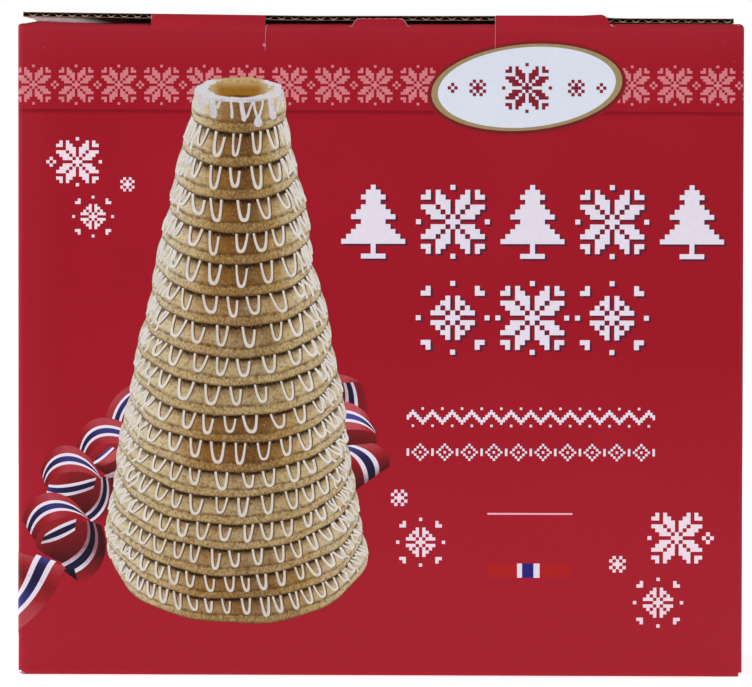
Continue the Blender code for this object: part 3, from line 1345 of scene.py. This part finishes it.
def crown_finish():
    """Frosting on the top face: bluish white, with tan showing through at its back and inner edge."""
    finish = Finish("crown_frosting")
    x, _, z = finish.axes()
    _, inward = finish.shares()
    patch = finish.noise(330.0)
    grain = finish.noise(1300.0, 2.0)
    back = z.rise(0.2535, 0.2560) * abs(x - CAKE_MIDDLE).rise(0.0145, 0.007)
    cover = patch + (0.5 - inward) * 0.2 - back * 0.5
    return finish.paint(
        "#c0a473",
        (cover.rise(0.22, 0.42), "#d5d3d8"),
        (z.rise(0.2478, 0.2458) * patch.rise(0.4, 0.6) * 0.6, "#a9a0a2"),
        (grain.rise(0.55, 0.7) * 0.2, "#b3a48c"),
    )


def hollow_finish():
    """Golden inner wall of the top ring: paler at its rim and right side, a dark line along its foot."""
    finish = Finish("baked_hollow")
    x, _, z = finish.axes()
    crumb = finish.noise(600.0)
    aside = (x - CAKE_MIDDLE) / HOLLOW[1]
    depth = (z - HOLLOW[0]) / HOLLOW[2] + (crumb - 0.5) * 0.3
    foot = (depth + aside * aside * 0.75).rise(-0.62, -0.82) * abs(aside).rise(0.8, 0.5)
    return finish.paint(
        "#966620",
        (depth.rise(-0.2, 0.9), "#c2a270"),
        (abs(aside).rise(0.55, 1.0) * 0.8, "#c9b080"),
        (foot * 0.8, "#55340f"),
        (crumb.rise(0.5, 0.7) * 0.4, "#7d5420"),
    )


# ------------------------ ribbons


STRIPES = (0.0, 0.29, 0.40, 0.60, 0.71, 1.0)
STRIPE_INKS = (0, 1, 2, 1, 0)
WHOLE = (0.0, 1.0)
RED = (0.0, 0.29)
CENTRE = (0.29, 0.71)
NOT_FIRST = (0.29, 1.0)


def bezier(points, share):
    """Point on a curve with four control points."""
    a, b, c, d = (Vector(point) * MM for point in points)
    rest = 1 - share
    return a * rest ** 3 + b * 3 * rest ** 2 * share + c * 3 * rest * share ** 2 + d * share ** 3


# Each stretch: one edge, the other edge, how light each is from start to end, and the part of the width.
LEFT_CURLS = (
    (((-117.6, 110.0), (-115.8, 117.8), (-111.4, 122.8), (-103.0, 125.9)),
     ((-108.5, 104.5), (-108.2, 110.7), (-105.4, 115.7), (-100.7, 117.6)),
     (0.6, 0.8, 0.7), (0.3, 0.5, 0.5), WHOLE),
    (((-125.5, 95.0), (-122.0, 99.0), (-116.0, 101.0), (-109.0, 101.0)),
     ((-123.5, 91.5), (-121.5, 88.5), (-119.5, 86.0), (-109.0, 84.0)),
     (0.5, 0.6, 0.5), (0.4, 0.0, 0.0), RED),
    (((-121.6, 92.9), (-119.5, 94.5), (-118.0, 95.8), (-115.5, 97.8)),
     ((-123.2, 90.0), (-119.5, 91.5), (-117.0, 93.8), (-113.5, 97.4)),
     (0.4, 0.9, 1.0), (0.9, 1.0, 1.0), (0.5, 0.71)),
    (((-121.5, 90.8), (-118.5, 92.2), (-116.5, 94.2), (-112.0, 97.5)),
     ((-119.0, 89.6), (-117.0, 90.2), (-115.0, 91.3), (-110.0, 93.5)),
     (0.7, 1.0, 1.0), (0.3, 0.8, 0.9), RED),
    (((-130.2, 96.9), (-128.4, 112.4), (-116.3, 113.9), (-103.5, 104.5)),
     ((-125.2, 93.2), (-122.3, 99.4), (-114.9, 101.8), (-103.9, 96.4)),
     (0.3, 0.8, 0.8), (0.1, 0.6, 0.75), WHOLE),
    (((-119.6, 84.8), (-118.0, 85.5), (-116.5, 86.2), (-112.0, 88.0)),
     ((-118.5, 82.5), (-117.5, 82.0), (-116.0, 81.0), (-112.0, 80.0)),
     (0.1, 0.1, 0.1), (0.0, 0.0, 0.0), (0.29, 0.60)),
    (((-144.0, 84.5), (-137.0, 88.5), (-127.0, 88.5), (-117.0, 85.0)),
     ((-141.0, 77.5), (-136.0, 72.0), (-129.0, 68.5), (-120.0, 67.0)),
     (0.6, 0.35, 0.3), (0.4, 0.0, 0.0), RED),
    (((-141.8, 81.6), (-138.0, 81.0), (-132.0, 81.6), (-121.4, 84.7)),
     ((-142.8, 78.0), (-138.5, 76.2), (-133.0, 75.6), (-122.6, 80.1)),
     (0.8, 0.4, 0.2), (0.7, 0.25, 0.1), CENTRE),
    (((-119.6, 85.0), (-118.6, 78.0), (-121.0, 72.5), (-126.3, 69.0)),
     ((-114.5, 84.0), (-111.5, 74.5), (-115.5, 66.5), (-121.5, 63.5)),
     (0.1, 0.0, 0.15), (0.1, 0.3, 0.6), NOT_FIRST),
    (((-145.2, 86.5), (-143.0, 102.5), (-126.5, 103.0), (-119.6, 85.0)),
     ((-142.9, 80.5), (-141.0, 87.5), (-128.5, 89.5), (-119.6, 84.2)),
     (0.2, 0.8, 0.65), (0.1, 0.7, 0.6), WHOLE),
    (((-147.8, 58.5), (-144.0, 66.0), (-134.0, 70.0), (-122.0, 64.0)),
     ((-147.0, 54.5), (-143.0, 50.5), (-139.0, 50.0), (-128.0, 44.0)),
     (0.4, 0.5, 0.2), (0.25, 0.0, 0.0), RED),
    (((-143.4, 60.2), (-139.5, 63.2), (-134.5, 65.6), (-130.0, 66.9)),
     ((-145.2, 56.2), (-141.0, 56.6), (-136.5, 58.0), (-130.6, 62.0)),
     (0.2, 0.3, 0.2), (0.15, 0.2, 0.3), CENTRE),
    (((-125.6, 66.2), (-123.5, 57.0), (-128.5, 51.5), (-136.5, 47.6)),
     ((-119.5, 64.5), (-114.5, 53.5), (-119.0, 43.0), (-128.5, 40.0)),
     (0.0, 0.0, 0.15), (-0.5, 0.1, 0.5), NOT_FIRST),
    (((-135.4, 45.0), (-134.0, 45.2), (-132.0, 45.4), (-130.8, 45.4)),
     ((-135.2, 44.6), (-133.5, 43.2), (-131.5, 41.8), (-129.5, 40.2)),
     (0.0, 0.0, 0.0), (0.0, 0.0, 0.0), (0.45, 0.55)),
    (((-153.0, 66.0), (-151.0, 81.5), (-134.0, 82.5), (-125.5, 67.8)),
     ((-147.8, 57.5), (-145.5, 66.0), (-134.0, 70.0), (-124.8, 66.5)),
     (0.2, 0.8, 0.5), (0.1, 0.65, 0.3), WHOLE),
    (((-155.8, 52.9), (-154.5, 44.5), (-160.0, 38.2), (-176.0, 28.0)),
     ((-134.6, 46.4), (-138.5, 37.0), (-144.0, 23.4), (-164.0, 14.0)),
     (0.8, 0.15, 0.6, 0.7), (0.7, 0.3, 0.8, 0.8), RED),
    (((-157.0, 33.5), (-162.0, 29.7), (-168.0, 27.5), (-176.0, 26.0)),
     ((-156.0, 24.7), (-160.0, 21.3), (-164.0, 17.5), (-168.0, 13.0)),
     (0.75, 0.8, 0.8), (0.75, 0.8, 0.8), CENTRE),
    (((-147.0, 51.6), (-150.3, 48.0), (-151.8, 37.5), (-157.0, 33.5)),
     ((-138.6, 48.6), (-142.0, 46.0), (-143.8, 34.9), (-156.0, 24.7)), (0.9, 0.45, 0.22, 0.6, 0.9),
     (0.9, 0.45, 0.22, 0.6, 0.9), CENTRE),
)
RIGHT_CURLS = (
    (((-9.0, 126.5), (-7.3, 124.0), (-5.8, 120.0), (-5.5, 113.5)),
     ((-18.5, 125.0), (-17.8, 122.0), (-18.0, 119.0), (-19.0, 116.0)),
     (0.25, 0.3, 0.3), (0.1, 0.05, 0.1), WHOLE),
    (((-18.5, 129.2), (-15.5, 129.2), (-12.0, 128.0), (-9.0, 126.3)),
     ((-18.5, 124.8), (-16.0, 125.6), (-12.5, 125.9), (-9.4, 125.6)),
     (0.9, 0.9, 0.6), (0.8, 0.7, 0.4), RED),
    (((-12.5, 101.5), (-3.0, 101.0), (5.5, 97.5), (4.0, 89.8)),
     ((-16.0, 94.0), (-13.5, 92.0), (-11.5, 86.0), (-10.8, 79.3)),
     (0.95, 0.7, 0.0), (0.9, 0.25, 0.0), WHOLE),
    (((-20.0, 105.5), (-11.0, 106.0), (-5.0, 105.0), (-1.6, 103.2)),
     ((-20.0, 98.0), (-10.0, 99.3), (-4.0, 99.6), (-1.3, 99.9)), (0.3, 0.3, 0.3), (0.1, 0.1, 0.15), RED),
    (((-20.0, 117.6), (-11.0, 119.0), (-4.3, 112.6), (-1.7, 105.0)),
     ((-20.0, 104.3), (-11.5, 106.6), (-6.0, 105.6), (-2.2, 103.6)),
     (1.0, 1.0, 0.1), (1.0, 0.9, 0.3), WHOLE),
)


def ribbon_stretch(one, other, tone_one, tone_other, shown):
    """A striped band between two curves; its tone is stored for the ink."""
    inner = [edge for edge in STRIPES if shown[0] < edge < shown[1]]
    edges = [shown[0]] + inner + [shown[1]]
    rows = steps(0, 1, 20)

    def across(edge):
        return (edge - shown[0]) / (shown[1] - shown[0])

    def place(edge, along):
        spot = blend(bezier(one, along), bezier(other, along), across(edge))
        return (spot.x, 0, spot.y)

    def tone_along(tone, along):
        knots = [(stop / (len(tone) - 1), level) for stop, level in enumerate(tone)]
        return level_at(knots, along)

    band = sheet("stretch", edges, rows, place)
    layer = band.data.attributes.new("tone", "FLOAT", "POINT")
    stations = [(edge, along) for along in rows for edge in edges]
    for (edge, along), entry in zip(stations, layer.data):
        entry.value = blend(tone_along(tone_one, along), tone_along(tone_other, along), across(edge))
    for face in band.data.polygons:
        column = face.index % (len(edges) - 1)
        middle = (edges[column] + edges[column + 1]) / 2
        stripe = sum(1 for edge in STRIPES[1:-1] if edge < middle)
        face.material_index = STRIPE_INKS[stripe]
    face_outward(band)
    return band


def curls(name, stretches, inks):
    """A curled ribbon: stretches laid each over the one before, then joined."""
    bands = []
    for number, stretch in enumerate(stretches):
        band = ribbon_stretch(*stretch)
        keep = [face.material_index for face in band.data.polygons]
        for ink in inks:
            band.data.materials.append(ink)
        for face, ink in zip(band.data.polygons, keep):
            face.material_index = ink
        bands.append(lay(band, LAYER["ribbon"] + number * LAYER_STEP))
    ribbon = join(name, bands)
    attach(ribbon, "root")
    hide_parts("carton")


# ------------------------ cut edges and wear


def taper(start, end):
    """A stroke's width that changes evenly along it, in millimetres."""
    return lambda share: blend(start, end, share) * MM


def cut_edges(material):
    """Pale torn paper along the die cuts of the tongues and the tab, and beside the slits."""
    width = 0.22 * MM
    inner = SHOULDER - width / 2
    high = TAB_TOP - SHOULDER
    left = TAB_MIDDLE - TAB_HALF
    right = TAB_MIDDLE + TAB_HALF
    slit = -TONGUE_IN - 0.2 * MM
    root = [(0.2 * MM, WALL_TOP - 1.0 * MM), (-1.3 * MM, WALL_TOP - 1.3 * MM)]
    left_shoulder = arc((left + SHOULDER, high), inner, 92, 180) + [(left + x, z) for x, z in root]
    right_shoulder = arc((right - SHOULDER, high), inner, 88, 0) + [(right - x, z) for x, z in root]
    left_slit = [
        (slit + 1.0 * MM, WALL_TOP - 0.7 * MM), (slit + 0.2 * MM, WALL_TOP - 1.0 * MM),
        (slit, 0.2745), (slit - 0.2 * MM, 0.2702), (slit - 0.1 * MM, SLIT_FOOT),
    ]
    tear = [(slit - 1.2 * MM, 0.2701), (slit - 0.5 * MM, 0.2699), (slit + 0.1 * MM, 0.2692)]
    right_slit = [(TONGUE_IN, z) for z in (TONGUE_TOP - 0.3 * MM, 0.2768, SLIT_FOOT + 0.2 * MM)]
    left_corner = [
        (-TONGUE_OUT + 0.3 * MM, TONGUE_TOP - 0.1 * MM), (-TONGUE_OUT + 0.15 * MM, TONGUE_TOP - 2.0 * MM),
    ]
    right_foot = [
        (TONGUE_OUT + 0.1 * MM, WALL_TOP - 0.2 * MM), (TONGUE_OUT + 0.6 * MM, WALL_TOP - 0.9 * MM),
        (TONGUE_OUT + 1.5 * MM, WALL_TOP - 1.2 * MM),
    ]
    strokes = [
        (left_shoulder, width),
        (right_shoulder, width * 1.3),
        (left_slit, taper(0.34, 0.12)),
        (tear, lambda share: blend(0.5, 1.7, math.sin(math.pi * share)) * MM),
        (right_slit, taper(0.26, 0.20)),
        (left_corner, taper(0.5, 0.1)),
        (right_foot, taper(0.7, 0.2)),
    ]
    line = TAB_TOP - 0.15 * MM
    for start, end in ((-9.0, -6.2), (-5.2, -3.9), (-2.6, 0.4), (1.2, 3.0), (4.4, 7.0)):
        strokes.append(([(start * MM, line), (end * MM, line)], 0.2 * MM))
    whole = join("cut_edges", [stroke("cut", path, wide) for path, wide in strokes])
    ink_on(face_outward(whole), LAYER["wear"], "board_liner", material)


def scuffs(material):
    """Small worn spots at the foot and near the upper corners."""
    chance = random.Random(3)
    corners = 12
    # Across, up, length and thickness, in millimetres.
    spots = (
        (-153.3, 0.9, 3.0, 0.9), (-143.9, 268.4, 0.6, 0.3), (152.5, 278.4, 0.9, 0.35),
        (151.0, 263.0, 0.5, 0.2), (143.0, 260.5, 0.5, 0.3), (146.8, 271.0, 0.45, 0.2),
    )
    pieces = []
    for across, up, long, thick in spots:
        points = []
        for step in range(corners):
            angle = 2 * math.pi * step / corners
            size = chance.uniform(0.7, 1.1)
            x = across + long / 2 * size * math.cos(angle)
            z = up + thick / 2 * size * math.sin(angle)
            points.append((x * MM, z * MM))
        pieces.append(outline("scuff", points))
    whole = join("scuffs", pieces)
    ink_on(face_outward(whole), LAYER["wear"], "board_liner", material)


# ------------------------ print


PAPER_GLOSS = 0.05
# Plain inks: their colour, a darker one for the unevenness and the gloss where it isn't an ink's usual one.
INKS = {
    "white_ink": ("#e8e0ec", "#ded4e2"),
    "snow_ink": ("#f3dfe9", "#ead0dc"),
    "pink_ink": ("#d68187", "#c66c73"),
    "plum_ink": ("#5b1a38", "#4a1430"),
    "gold_ink": ("#a39068", "#8f7c52"),
    "blue_ink": ("#28207a", "#221b6a"),
    "bright_red_ink": ("#b01a1c", "#a8181b"),
    "pale_pink_ink": ("#f0b5c0", "#e8a8b4"),
    "glow_ink": ("#8e1820", "#8a161e"),
    "maroon_ink": ("#74161a", "#701418"),
    "wine_ink": ("#8a1a30", "#7a1429"),
    "oval_white": ("#dfe3ef", "#d9ddea"),
    "icing_shade": ("#6a4b2d", "#5a3b20"),
    "torn_paper": ("#c98f97", "#b46570", PAPER_GLOSS),
    "crown_icing_ink": ("#d9d6da", "#b9b0b2", PAPER_GLOSS),
}


def printing():
    """All layers of print and the marks of cutting and wear."""
    inks = {name: plain_ink(name, *look) for name, look in INKS.items()}
    ribbon = (
        ribbon_ink("ribbon_red", "#3c080b", "#9a1a23", "#bd525c"),
        ribbon_ink("ribbon_white", "#8f5c68", "#e0d3e1", "#efe6f3", knee=0.25),
        ribbon_ink("ribbon_blue", "#0e0a15", "#221e4d", "#4a4894"),
    )
    knitted(inks["snow_ink"], inks["pink_ink"])
    ornament_rows(inks["white_ink"], inks["plum_ink"])
    small_rows(inks["white_ink"])
    medallion(inks)
    rule_and_bar(inks)
    curls("left_ribbon", LEFT_CURLS, ribbon)
    curls("right_ribbon", RIGHT_CURLS, ribbon)
    cake_rings(baked_rings())
    cake_icing(piped_icing(), inks["icing_shade"])
    cake_crown(crown_finish(), hollow_finish(), inks["crown_icing_ink"])
    cut_edges(inks["torn_paper"])
    scuffs(inks["torn_paper"])


# ------------------------ stage, light and camera


def camera():
    """Long lens, a little above the middle of the carton and tipped down by the same small angle."""
    distance = 2.5
    frame_width = 0.3214
    tip = math.radians(2.1)
    side = math.radians(1.2)
    roll = math.radians(-0.1)
    target = Vector((-0.0019, FRONT, 0.1424))
    data = bpy.data.cameras.new("camera")
    data.sensor_width = 36.0
    data.lens = data.sensor_width * distance / frame_width
    data.clip_end = 50.0
    eye = bpy.data.objects.new("camera", data)
    bpy.context.scene.collection.objects.link(eye)
    level = math.cos(tip)
    towards = Vector((level * math.sin(side), -level * math.cos(side), math.sin(tip)))
    eye.location = target + towards * distance
    eye.rotation_euler = (math.pi / 2 - tip, roll, side)
    bpy.context.scene.camera = eye


def lamp(name, place, target, size, power):
    """Soft square light aimed at a point."""
    data = bpy.data.lights.new(name, "AREA")
    data.shape = "SQUARE"
    data.size = size
    data.energy = power
    light = bpy.data.objects.new(name, data)
    bpy.context.scene.collection.objects.link(light)
    light.location = place
    light.rotation_euler = (Vector(target) - Vector(place)).to_track_quat("-Z", "Y").to_euler()
    light.visible_camera = False


def surroundings():
    """White to the camera, but a weaker and slightly blue light for everything else."""
    world = bpy.data.worlds.new("studio")
    world.use_nodes = True
    nodes = world.node_tree.nodes
    seen = nodes.new("ShaderNodeLightPath")
    glow = nodes["Background"]
    plain = nodes.new("ShaderNodeBackground")
    mixed = nodes.new("ShaderNodeMixShader")
    for light, tint, strength in ((glow, (0.95, 0.96, 1.0, 1), 0.35), (plain, (1, 1, 1, 1), 1.0)):
        light.inputs["Color"].default_value = tint
        light.inputs["Strength"].default_value = strength
    sources = (seen.outputs["Is Camera Ray"], glow.outputs[0], plain.outputs[0])
    for socket, source in zip(mixed.inputs, sources):
        world.node_tree.links.new(source, socket)
    world.node_tree.links.new(mixed.outputs[0], nodes["World Output"].inputs[0])
    bpy.context.scene.world = world


def stage():
    """Pale floor, white surroundings and soft studio lights."""
    floor = sheet("floor", steps(-1.5, 1.5, 4), steps(-1.5, 1.5, 4), lambda x, y: (x, y, 0))
    floor.data.materials.append(stage_finish())
    surroundings()
    middle = (0, 0, 0.14)
    # Name, place, target, size and power.
    lamps = (
        ("key_left", (-1.6, -1.7, 1.1), middle, 1.2, 13.4),
        ("fill_right", (1.7, -1.7, 0.7), middle, 1.4, 8.6),
        ("top", (0, 0.2, 2.2), middle, 1.6, 9.6),
        ("low_left", (-2.0, -0.15, 0.04), (-0.14, -0.06, 0.28), 0.4, 14),
        ("back_left", (-1.6, 1.8, 1.0), middle, 1.4, 11),
        ("back_right", (1.7, 1.7, 1.0), middle, 1.4, 11),
    )
    for entry in lamps:
        lamp(*entry)
    bpy.context.scene.view_settings.view_transform = "Standard"


camera()
board()
printing()
stage()
